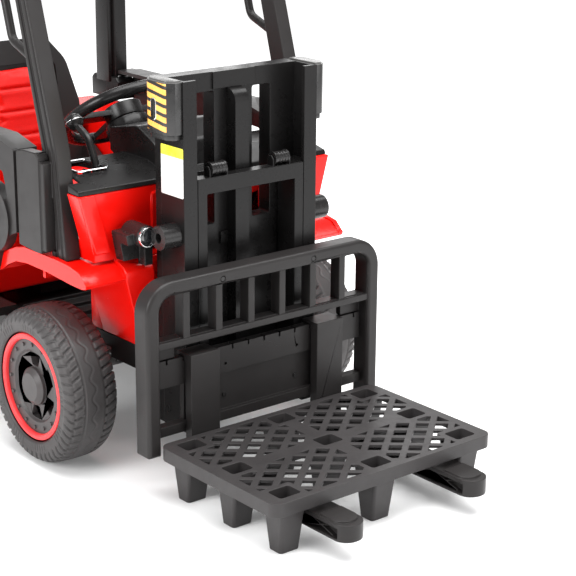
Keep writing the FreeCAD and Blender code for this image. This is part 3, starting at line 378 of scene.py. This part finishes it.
def piece(name, mesh, material, body, replaced=(), smooth=35):
    """New visible object on a body; edges sharper than smooth degrees stay sharp."""
    obj = bpy.data.objects.new(name, mesh)
    bpy.context.scene.collection.objects.link(obj)
    paint(obj, material)
    if smooth:
        bm = bmesh.new()
        bm.from_mesh(mesh)
        for face in bm.faces:
            face.smooth = True
        for edge in bm.edges:
            if len(edge.link_faces) == 2 and edge.calc_face_angle(0) > math.radians(smooth):
                edge.smooth = False
        bm.to_mesh(mesh)
        bm.free()
    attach(obj, body)
    if replaced:
        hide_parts(*replaced)
    return obj


def mesh_of(name, points, faces):
    mesh = bpy.data.meshes.new(name)
    mesh.from_pydata([tuple(p) for p in points], [], faces)
    mesh.update()
    return mesh


def grid_faces(rows, columns, wrap_rows, wrap_columns):
    faces = []
    for i in range(rows if wrap_rows else rows - 1):
        for j in range(columns if wrap_columns else columns - 1):
            k, m = (i + 1) % rows, (j + 1) % columns
            faces.append((i * columns + j, i * columns + m, k * columns + m, k * columns + j))
    return faces


def slab(name, outline, thickness, place, bevel):
    """Flat plate: 2-D outline in millimetres put in space by place(u, v, w), edges rounded."""
    bm = bmesh.new()
    low = [bm.verts.new(place(u, v, 0)) for u, v in outline]
    face = bm.faces.new(low)
    made = bmesh.ops.extrude_face_region(bm, geom=[face])
    step = place(0, 0, thickness) - place(0, 0, 0)
    bmesh.ops.translate(bm, vec=step, verts=[g for g in made["geom"] if isinstance(g, bmesh.types.BMVert)])
    bmesh.ops.recalc_face_normals(bm, faces=bm.faces)
    sharp = [e for e in bm.edges if e.calc_face_angle(0) > math.radians(30)]
    if bevel > 0:
        bmesh.ops.bevel(bm, geom=sharp, offset=bevel * MM, segments=2, profile=0.6, affect="EDGES")
    mesh = bpy.data.meshes.new(name)
    bm.to_mesh(mesh)
    bm.free()
    return mesh


def rounded(u0, u1, v0, v1, radius, steps=4):
    """Outline of a rectangle with round corners."""
    points = []
    for cu, cv, start in ((u1 - radius, v1 - radius, 0), (u0 + radius, v1 - radius, 90),
                          (u0 + radius, v0 + radius, 180), (u1 - radius, v0 + radius, 270)):
        for i in range(steps + 1):
            a = math.radians(start + 90 * i / steps)
            points.append((cu + radius * math.cos(a), cv + radius * math.sin(a)))
    return points


def smoothstep(value, low, high):
    t = np.clip((value - low) / (high - low), 0, 1)
    return t * t * (3 - 2 * t)


def lathe(name, profile, centre, axis, steps=48, closed=True):
    """Turned shape: profile is (along the axis, radius) in millimetres."""
    axis = Vector(axis).normalized()
    side = axis.orthogonal().normalized()
    third = axis.cross(side)
    points = []
    for i in range(steps):
        a = 2 * math.pi * i / steps
        out = side * math.cos(a) + third * math.sin(a)
        points += [centre + (axis * u + out * r) * MM for u, r in profile]
    return mesh_of(name, points, grid_faces(steps, len(profile), True, closed))


# Tyres. The section runs from the inner bead over the tread to the outer bead, in millimetres.
BEAD_R = 95.3
TREAD_R = 136.5
HALF_SECTION = [(45, BEAD_R), (49, 101), (49.6, 110), (49, 119), (45.5, 127), (39, 131.8), (30, 134.8),
                (16, 136.1)]
SECTION = [(-u, r) for u, r in HALF_SECTION] + [(0, TREAD_R)] + HALF_SECTION[::-1]
TYRE_WALL = 8.5
# Points round the tyre and across its section.
AROUND = 768
ACROSS = 84
# Blocks round the tyre: outer lugs, inner lugs, raised marks of the sidewall, waves of the middle rib.
LUGS = 50
INNER_LUGS = 52
SIDE_MARKS = 84
RIB_WAVES = 25
# Depths cut into the mould's surface, in millimetres.
LUG_DEPTH = 2.6
INNER_LUG_DEPTH = 4.0
SIPE_DEPTH = 0.7
SEAM_DEPTH = 1.3


def section_points(count):
    """Smooth curve through SECTION, sampled evenly along its length."""
    control = np.array(SECTION, float)
    samples = []
    for i in range(len(control) - 1):
        p0, p1 = control[max(i - 1, 0)], control[i]
        p2, p3 = control[i + 1], control[min(i + 2, len(control) - 1)]
        for t in np.linspace(0, 1, 24, endpoint=False):
            samples.append(0.5 * (2 * p1 + (p2 - p0) * t + (2 * p0 - 5 * p1 + 4 * p2 - p3) * t ** 2
                                  + (3 * p1 - p0 - 3 * p2 + p3) * t ** 3))
    samples = np.array(samples + [control[-1]])
    run = np.concatenate([[0], np.cumsum(np.linalg.norm(np.diff(samples, axis=0), axis=1))])
    even = np.linspace(0, run[-1], count)
    return np.stack([np.interp(even, run, samples[:, k]) for k in (0, 1)], axis=1)


def blocks(phase, gap, soft):
    """1 on a lug and 0 in the gap between lugs, for a phase counted in lugs."""
    near = np.abs((phase % 1.0) - 0.5) * 2
    return 1 - smoothstep(near, 1 - gap - soft, 1 - gap + soft * 0.4)


def tyre_mesh():
    """Hollow tyre with its blocks, grooves and sidewall marks sunk into the section's curve."""
    section = section_points(ACROSS)
    normal = np.gradient(section, axis=0)
    normal = np.stack([-normal[:, 1], normal[:, 0]], axis=1)
    normal /= np.linalg.norm(normal, axis=1)[:, None]
    if normal[ACROSS // 2, 1] < 0:
        normal = -normal
    angle = np.linspace(0, 2 * math.pi, AROUND, endpoint=False)[:, None]
    x = section[None, :, 0]
    r = section[None, :, 1]
    turn = angle / (2 * math.pi)
    depth = np.zeros((AROUND, ACROSS))
    outer_zone = smoothstep(x, 23.5, 25.5) * smoothstep(r, 113, 118) * (x > 0)
    shoulder = smoothstep(x, 38, 40) * (x > 0)
    slant = (x - 25) * 0.028
    row_tread = blocks(turn * LUGS + slant, 0.20, 0.10)
    row_side = blocks(turn * LUGS + 0.34 + (r - 120) * 0.03, 0.26, 0.10)
    lug = row_tread * (1 - shoulder) + row_side * shoulder
    depth += outer_zone * (1 - lug) * LUG_DEPTH
    sipe = blocks(turn * LUGS * 2 + slant * 2 + 0.2, 0.16, 0.10)
    depth += outer_zone * (1 - shoulder) * (1 - sipe) * SIPE_DEPTH
    seam = np.exp(-((x - 39.0) / 1.2) ** 2) * (x > 0)
    depth += seam * SEAM_DEPTH
    ridge = np.exp(-((x - 21.0) / 1.1) ** 2)
    depth += ridge * 2.0 - np.exp(-((x - 24.0) / 1.2) ** 2) * 0.35
    wave_at = 3 + 4.5 * np.sin(angle * RIB_WAVES)
    depth += np.exp(-((x - wave_at) / 1.4) ** 2) * 0.9
    inner_zone = smoothstep(-x, 19, 22) * smoothstep(r, 113, 118) * (x < 0)
    inner_lug = blocks(turn * INNER_LUGS + x * 0.02, 0.24, 0.10)
    depth += inner_zone * (1 - inner_lug) * INNER_LUG_DEPTH
    depth += np.exp(-((x + 18.0) / 1.3) ** 2) * 1.6
    side = smoothstep(r, 100, 101.5) * (1 - smoothstep(r, 109.5, 111)) * (x > 0)
    marks = blocks(turn * SIDE_MARKS, 0.36, 0.16) * (0.5 + 0.5 * np.sign(np.sin(angle * 9 + 0.6)))
    depth += side * (1.0 - 0.8 * marks)
    depth += np.exp(-((r - 112.4) / 0.8) ** 2) * 0.9
    depth = np.maximum(depth, 0)
    px = x - normal[None, :, 0] * depth
    pr = r - normal[None, :, 1] * depth
    outer = np.stack([px, pr * np.cos(angle), pr * np.sin(angle)], axis=2)
    inner_section = section.copy()
    inner_section -= normal * TYRE_WALL
    inner_section[:, 1] = np.maximum(inner_section[:, 1], BEAD_R)
    inner_section = inner_section[::-1][6:-6:6]
    ix, ir = inner_section[None, :, 0], inner_section[None, :, 1]
    inner = np.stack([ix + 0 * angle, ir * np.cos(angle), ir * np.sin(angle)], axis=2)
    whole = np.concatenate([outer, inner], axis=1)
    faces = grid_faces(AROUND, whole.shape[1], True, True)
    return mesh_of("tyre", (whole.reshape(-1, 3) * MM).tolist(), faces)


def outward(mesh):
    """The same mesh with every face turned outward."""
    bm = bmesh.new()
    bm.from_mesh(mesh)
    bmesh.ops.recalc_face_normals(bm, faces=bm.faces)
    bm.to_mesh(mesh)
    bm.free()
    return mesh


tread = outward(tyre_mesh())
for end in ("front", "rear"):
    for side, sign in (("left", 1), ("right", -1)):
        node_name = f"{end}_{side}_tyre"
        low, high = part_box(node_name)
        obj = bpy.data.objects.new(node_name + "_tread", tread)
        bpy.context.scene.collection.objects.link(obj)
        obj.location = (low + high) / 2
        obj.rotation_euler = (0 if end == "front" else math.pi / 2, 0, 0 if sign > 0 else math.pi)
        bpy.context.view_layer.update()
        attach(obj, f"{end}_{side}_wheel")
        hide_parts(node_name)
tread.materials.append(materials["tyre_plastic"])
for face in tread.polygons:
    face.use_smooth = True


# Seat pads: the CAD solid, remeshed, blown up a little as cloth, then sewn across.

# Cloth: grid of the remeshed pad, pressure inside it and length of the simulation.
CLOTH_GRID = 0.004
PRESSURE = 4.0
CLOTH_FRAMES = 20
# A sewn channel, in metres: half width and depth of the dip, and the low swell on each side of it.
SEAM_WIDTH = 0.0030
SEAM_DIP = 0.0034
SWELL_AT = 0.009
SWELL_WIDTH = 0.005
SWELL = 0.0006


def cushion(name, node_name, shrink, seams, seam_axis, cap, body="chassis"):
    """Soft pad in place of a CAD pad, with channels sewn at seams along seam_axis."""
    source = nodes[node_name].data.copy()
    obj = bpy.data.objects.new(name, source)
    bpy.context.scene.collection.objects.link(obj)
    low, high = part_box(node_name)
    middle = (low + high) / 2
    source.transform(Matrix.Translation(-middle))
    size = high - low
    factors = [(size[k] - 2 * shrink * MM) / size[k] for k in range(3)]
    source.transform(Matrix.Diagonal((*factors, 1)))
    source.transform(Matrix.Translation(middle))
    remesh = obj.modifiers.new("remesh", "REMESH")
    remesh.mode = "VOXEL"
    remesh.voxel_size = CLOTH_GRID
    apply_modifiers(obj)
    smooth_mesh(obj.data, 3)
    rest = np.array([v.co for v in obj.data.vertices])
    cloth = obj.modifiers.new("cloth", "CLOTH")
    cloth.settings.use_pressure = True
    cloth.settings.uniform_pressure_force = PRESSURE
    cloth.settings.effector_weights.gravity = 0.0
    cloth.settings.quality = 5
    scene = bpy.context.scene
    for number in range(1, CLOTH_FRAMES + 1):
        scene.frame_set(number)
    apply_modifiers(obj)
    scene.frame_set(1)
    moved = np.array([v.co for v in obj.data.vertices])
    step = moved - rest
    length = np.linalg.norm(step, axis=1)
    step *= (np.minimum(length, cap * MM) / np.maximum(length, 1e-9))[:, None]
    moved = rest + step
    moved = np.clip(moved, np.array(low) - CLOTH_GRID, np.array(high) + CLOTH_GRID)
    set_points(obj.data, moved)
    subdivide = obj.modifiers.new("subdivide", "SUBSURF")
    subdivide.levels = subdivide.render_levels = 1
    apply_modifiers(obj)
    points = np.array([v.co for v in obj.data.vertices])
    normals = np.array([v.normal for v in obj.data.vertices])
    dip = np.zeros(len(points))
    for seam in seams:
        away = points[:, seam_axis] - seam
        swell = np.exp(-((np.abs(away) - SWELL_AT) / SWELL_WIDTH) ** 2) * SWELL
        dip += np.exp(-(away / SEAM_WIDTH) ** 2) * SEAM_DIP - swell
    set_points(obj.data, points - normals * dip[:, None])
    for face in obj.data.polygons:
        face.use_smooth = True
    paint(obj, materials["seat_leather"])
    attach(obj, body)
    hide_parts(node_name)
    return obj


def apply_modifiers(obj):
    depsgraph = bpy.context.evaluated_depsgraph_get()
    mesh = bpy.data.meshes.new_from_object(obj.evaluated_get(depsgraph))
    obj.modifiers.clear()
    obj.data = mesh


def smooth_mesh(mesh, rounds):
    bm = bmesh.new()
    bm.from_mesh(mesh)
    for _ in range(rounds):
        bmesh.ops.smooth_vert(bm, verts=bm.verts, factor=0.5, use_axis_x=True, use_axis_y=True,
                              use_axis_z=True)
    bm.to_mesh(mesh)
    bm.free()


def set_points(mesh, points):
    mesh.vertices.foreach_set("co", np.ascontiguousarray(points, dtype=np.float32).ravel())
    mesh.update()


cushion("seat_back_cushion", "seat_back_pad", 1.5, [0.541, 0.497, 0.450], 2, 7.0)
cushion("seat_base_cushion", "seat_base_pad", 1.5, [at(0, 650, 0).y, at(0, 695, 0).y], 1, 7.0)

# Plain sticker on the mast's side, and the film of the one beside the seat. Millimetres.
STICKER = 0.5
LABEL_LOW = 479
LABEL_HIGH = 561
LABEL_HEAD = 17
MAST_SIDE = 138.75
label = label_film("label_film", LABEL_LOW * MM, LABEL_HIGH * MM, LABEL_HEAD * MM)
piece("mast_label", slab("mast_label", rounded(48.5, 109.5, LABEL_LOW, LABEL_HIGH, 2), STICKER,
                         lambda u, v, w: at(-MAST_SIDE - w, u, v), 0.15), label, "chassis")
yellow = plastic("yellow_film", (0.90, 0.62, 0.02, 1), 0.35, mottling=0.1, grain=0.05)
chrome = materials["chrome_trim"]


def tube(name, path, radius, closed=False, sides=12):
    """Round bar through points in metres."""
    points = []
    count = len(path)
    for i, p in enumerate(path):
        before = path[(i - 1) % count] if closed or i else path[0]
        after = path[(i + 1) % count] if closed or i < count - 1 else path[-1]
        along = (after - before).normalized()
        side = along.orthogonal().normalized() if i == 0 else (side - along * side.dot(along)).normalized()
        third = along.cross(side)
        for k in range(sides):
            a = 2 * math.pi * k / sides
            points.append(p + (side * math.cos(a) + third * math.sin(a)) * radius * MM)
    faces = grid_faces(count, sides, closed, True)
    if not closed:
        faces.append(tuple(range(sides)))
        faces.append(tuple((count - 1) * sides + k for k in reversed(range(sides))))
    return outward(mesh_of(name, points, faces))


# Lever: plated ring round the knob and plated edge round its slot in the dash.
knob = at(-178, 306, 568)
knob_axis = Vector((0, 0.62, 0.78)).normalized()
knob_side = Vector((1, 0, 0))
knob_third = knob_axis.cross(knob_side)
ring_path = [knob + (knob_side * math.cos(a) + knob_third * math.sin(a)) * 15.6 * MM
             for a in (2 * math.pi * i / 40 for i in range(40))]
piece("lever_knob_ring", tube("lever_knob_ring", ring_path, 1.3, True), chrome, "lift_lever")
slot_path = [at(u - 195, v + 262.5, 503.2) for u, v in rounded(-30, 30, -38, 38, 6)]
piece("lever_slot_trim", tube("lever_slot_trim", slot_path, 1.7, True, 8), chrome, "chassis")


def bolt(name, centre, normal, radius, body, high=2.0):
    """Screw with a plain domed head."""
    normal = Vector(normal).normalized()
    profile = [(-1, radius), (high * 0.4, radius), (high, radius * 0.72), (high, 0.01), (-1, 0.01)]
    mesh = lathe(name, profile, centre, normal, 20)
    return piece(name, outward(mesh), materials["screw_steel"], body)


for side, sign in (("left", 1), ("right", -1)):
    bolt(f"{side}_pillar_screw_a", at(sign * 258, 801.6, 508), (0, -1, 0), 4.0, "chassis")
    bolt(f"{side}_pillar_screw_b", at(sign * 244, 801.6, 530), (0, -1, 0), 4.0, "chassis")
    bolt(f"{side}_handle_screw", at(sign * 252, 376, 716), (-sign, 0.4, 0), 3.2, "chassis")

# Lamp lenses: a domed glass in each ring.
for side, sign in (("left", 1), ("right", -1)):
    profile = [(0, 14.7), (1.2, 14.5)] + [(1.2 + 3.2 * math.cos(a), 14.5 * math.sin(a))
                                         for a in (math.radians(d) for d in range(80, 0, -10))]
    profile += [(4.4, 0.01), (0, 0.01)]
    mesh = outward(lathe(side + "_lamp_glass", profile, at(sign * 175, 101.5, 411), (0, -1, 0), 40))
    obj = piece(side + "_lamp_glass", mesh, materials["lamp_lens"], "chassis")
    if sign > 0:
        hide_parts("lamp_lenses")

# Striped casings of the mast: a rounded shell with a cap, a chin and a plain window in a plated edge.
CASING_IN = 138.7
CASING_OUT = 164.5
# Window of the casing (back from front, height) and the radius of its ends.
WINDOW = (84, 99, 605, 641)
WINDOW_R = 7.4


def filleted(points, radii, steps=5):
    """Outline with round corners, one radius to each point."""
    result = []
    for i, (corner, radius) in enumerate(zip(points, radii)):
        corner = Vector(corner)
        before = (Vector(points[i - 1]) - corner).normalized()
        after = (Vector(points[(i + 1) % len(points)]) - corner).normalized()
        if radius <= 0:
            result.append(tuple(corner))
            continue
        half = before.angle(after) / 2
        start = corner + before * radius / math.tan(half)
        end = corner + after * radius / math.tan(half)
        for k in range(steps + 1):
            t = k / steps
            result.append(tuple(start * (1 - t) ** 2 + corner * 2 * t * (1 - t) + end * t ** 2))
    return result


def casing_outline(inset):
    """Plan of a casing, drawn in by inset."""
    points = [(CASING_IN, 50 + inset), (152, 50 + inset), (CASING_OUT - inset, 62 + inset),
              (CASING_OUT - inset, 110 - inset), (151, 124 - inset), (CASING_IN, 124 - inset)]
    return filleted(points, [0, 5, 11, 15, 9, 0])


def joined(name, meshes):
    """One mesh from several."""
    bm = bmesh.new()
    for mesh in meshes:
        bm.from_mesh(mesh)
    whole = bpy.data.meshes.new(name)
    bm.to_mesh(whole)
    bm.free()
    return whole


for side, sign in (("left", 1), ("right", -1)):
    name = side + "_casing_shell"
    shells = []
    for inset, low_z, high_z in ((0, 584, 668.7), (2.5, 668.2, 671.0), (4, 575, 584.5)):
        shells.append(slab(name, casing_outline(inset), high_z - low_z,
                           lambda u, v, w, low_z=low_z: at(sign * u, v, low_z + w), 0.8))
    piece(name, outward(joined(name, shells)), materials["hazard_plastic"], "chassis",
          [side + "_hazard_casing"])
    for part, grow, thick, finish in (("rim", 0.0, 1.0, "chrome_trim"),
                                      ("window", -1.6, 1.5, "gloss_black")):
        outline = rounded(WINDOW[0] - grow, WINDOW[1] + grow, WINDOW[2] - grow, WINDOW[3] + grow,
                          WINDOW_R + grow, 6)
        window = slab(f"{side}_casing_{part}", outline, thick,
                      lambda u, v, w: at(sign * (CASING_OUT - 0.3 + w), u, v), 0.3)
        piece(f"{side}_casing_{part}", outward(window), materials[finish], "chassis")

# Rear posts of the cab: a main profile, an inner corner profile and a foot, each between two values of x.
POST_FOOT = filleted([(786, 486), (884, 486), (884, 522), (874, 531), (796, 531), (786, 522)],
                     [2, 2, 6, 6, 6, 6])
POST_PARTS = (([(804, 520), (858, 520), (854, 928), (806, 928)], 237, 266, 3.0),
              ([(813, 520), (860, 520), (856, 928), (814, 928)], 226, 238, 2.5),
              (POST_FOOT, 230, 271, 2.5))
for side, sign in (("left", 1), ("right", -1)):
    name = side + "_rear_post"
    shells = []
    for outline, x0, x1, edge in POST_PARTS:
        shells.append(slab(name, outline, x1 - x0, lambda u, v, w, x0=x0: at(sign * (x0 + w), u, v), edge))
    # Painted shade: the posts take the darker mast black.
    piece(name, outward(joined(name, shells)), materials["mast_black"], "chassis",
          [side + "_rear_pillar"])

# Boot round the steering column, in steps like a bellows: (along the column, radius).
COLUMN_TILT = math.radians(35)
wheel_centre = at(0, 424, 545)
column_axis = Vector((0, math.sin(COLUMN_TILT), math.cos(COLUMN_TILT)))
boot = [(-19, 37), (-19, 40), (-24, 42), (-52, 42), (-56, 45), (-62, 42.5), (-84, 43), (-88, 50), (-94, 53),
        (-124, 54), (-124, 50), (-90, 46), (-60, 39.5)]
piece("steering_column_boot", outward(lathe("steering_column_boot", boot, wheel_centre, column_axis, 56)),
      materials["gloss_black"], "chassis")

# Dark tray under the lever's slot, and the red walls beside the seat's base.
tray = slab("lever_slot_tray", rounded(-234, -158, 220, 312, 6), 3, lambda u, v, w: at(u, v, 446 + w), 0.6)
piece("lever_slot_tray", outward(tray), materials["black_plastic"], "chassis")
for side, sign in (("left", 1), ("right", -1)):
    wall = slab(side + "_seat_wall", filleted([(622, 372), (697, 458), (796, 458), (796, 345), (622, 345)],
                                              [6, 16, 4, 4, 4]), 6,
                lambda u, v, w: at(sign * (150 + w), u, v), 1.5)
    piece(side + "_seat_wall", outward(wall), materials["red_plastic"], "chassis")
sticker = slab("seat_wall_label", rounded(700, 741, 424, 449, 1.5), STICKER,
               lambda u, v, w: at(149.8 - w, u, v), 0.1)
piece("seat_wall_label", outward(sticker), yellow, "chassis")

# ---------------------------------------------------------------- stage, light and camera

floor_mesh = mesh_of("floor", [(-60, -60, 0), (60, -60, 0), (60, 60, 0), (-60, 60, 0)], [(0, 1, 2, 3)])
floor = bpy.data.objects.new("floor", floor_mesh)
bpy.context.scene.collection.objects.link(floor)
floor.location.z = -0.0004
floor_material, tree, shader = new_material("floor")
shader.inputs["Base Color"].default_value = (0.86, 0.86, 0.86, 1)
shader.inputs["Roughness"].default_value = 0.6
shader.inputs["Specular IOR Level"].default_value = 0.15
shader.inputs["Emission Color"].default_value = (1, 1, 1, 1)
# The floor glows with painted light to pure white away from the object, and glows only faintly near and
# under it, so the shade there stays.
coords = add(tree, "ShaderNodeTexCoord").outputs["Object"]
scaled = add(tree, "ShaderNodeMapping", None, Vector=coords, Scale=(1 / 0.40, 1 / 0.72, 0))
reach = add(tree, "ShaderNodeVectorMath", {"operation": "LENGTH"})
tree.links.new(scaled.outputs["Vector"], reach.inputs[0])
strength = spread(tree, reach.outputs["Value"], 0.12, 0.66, 0.8, 1.9)
tree.links.new(strength, shader.inputs["Emission Strength"])
paint(floor, floor_material)

world = bpy.data.worlds.new("studio")
bpy.context.scene.world = world
world.use_nodes = True
world.node_tree.nodes["Background"].inputs["Color"].default_value = (1, 1, 1, 1)
world.node_tree.nodes["Background"].inputs["Strength"].default_value = 0.40


def soft_light(name, place, target, size, power, size_y=None):
    data = bpy.data.lights.new(name, "AREA")
    data.shape = "RECTANGLE"
    data.size = size
    data.size_y = size_y or size
    data.energy = power
    light = bpy.data.objects.new(name, data)
    bpy.context.scene.collection.objects.link(light)
    light.location = place
    light.rotation_euler = (Vector(target) - Vector(place)).to_track_quat("-Z", "Y").to_euler()
    return light


soft_light("top", (0.2, -0.3, 2.9), (0, -0.1, 0.3), 3.0, 185)
soft_light("key", (-3.0, -0.2, 1.7), (0, 0, 0.4), 1.6, 78)
soft_light("front", (1.0, -3.2, 1.4), (0, 0, 0.3), 1.8, 42)
soft_light("back", (2.0, 2.6, 1.8), (0, 0, 0.4), 1.8, 22)

# Camera: where it stands, where it looks, its roll and its lens in millimetres.
CAMERA_AT = (-1.6631, -2.3590, 1.1387)
LENS = 104.346
AZIMUTH = math.radians(-39.482)
ELEVATION = math.radians(17.236)
ROLL = math.radians(0.406)
level = math.cos(ELEVATION)
back = Vector((math.sin(AZIMUTH) * level, -math.cos(AZIMUTH) * level, math.sin(ELEVATION)))
right = Vector((math.cos(AZIMUTH), math.sin(AZIMUTH), 0))
up = back.cross(right)
camera_x = right * math.cos(ROLL) + up * math.sin(ROLL)
camera_y = -right * math.sin(ROLL) + up * math.cos(ROLL)
camera_data = bpy.data.cameras.new("camera")
camera_data.lens = LENS
camera_data.sensor_width = 36.0
camera_data.clip_end = 200
camera = bpy.data.objects.new("camera", camera_data)
bpy.context.scene.collection.objects.link(camera)
turn = Matrix((camera_x, camera_y, back)).transposed().to_4x4()
camera.matrix_world = Matrix.Translation(CAMERA_AT) @ turn
bpy.context.scene.camera = camera
bpy.context.scene.view_settings.view_transform = "Standard"
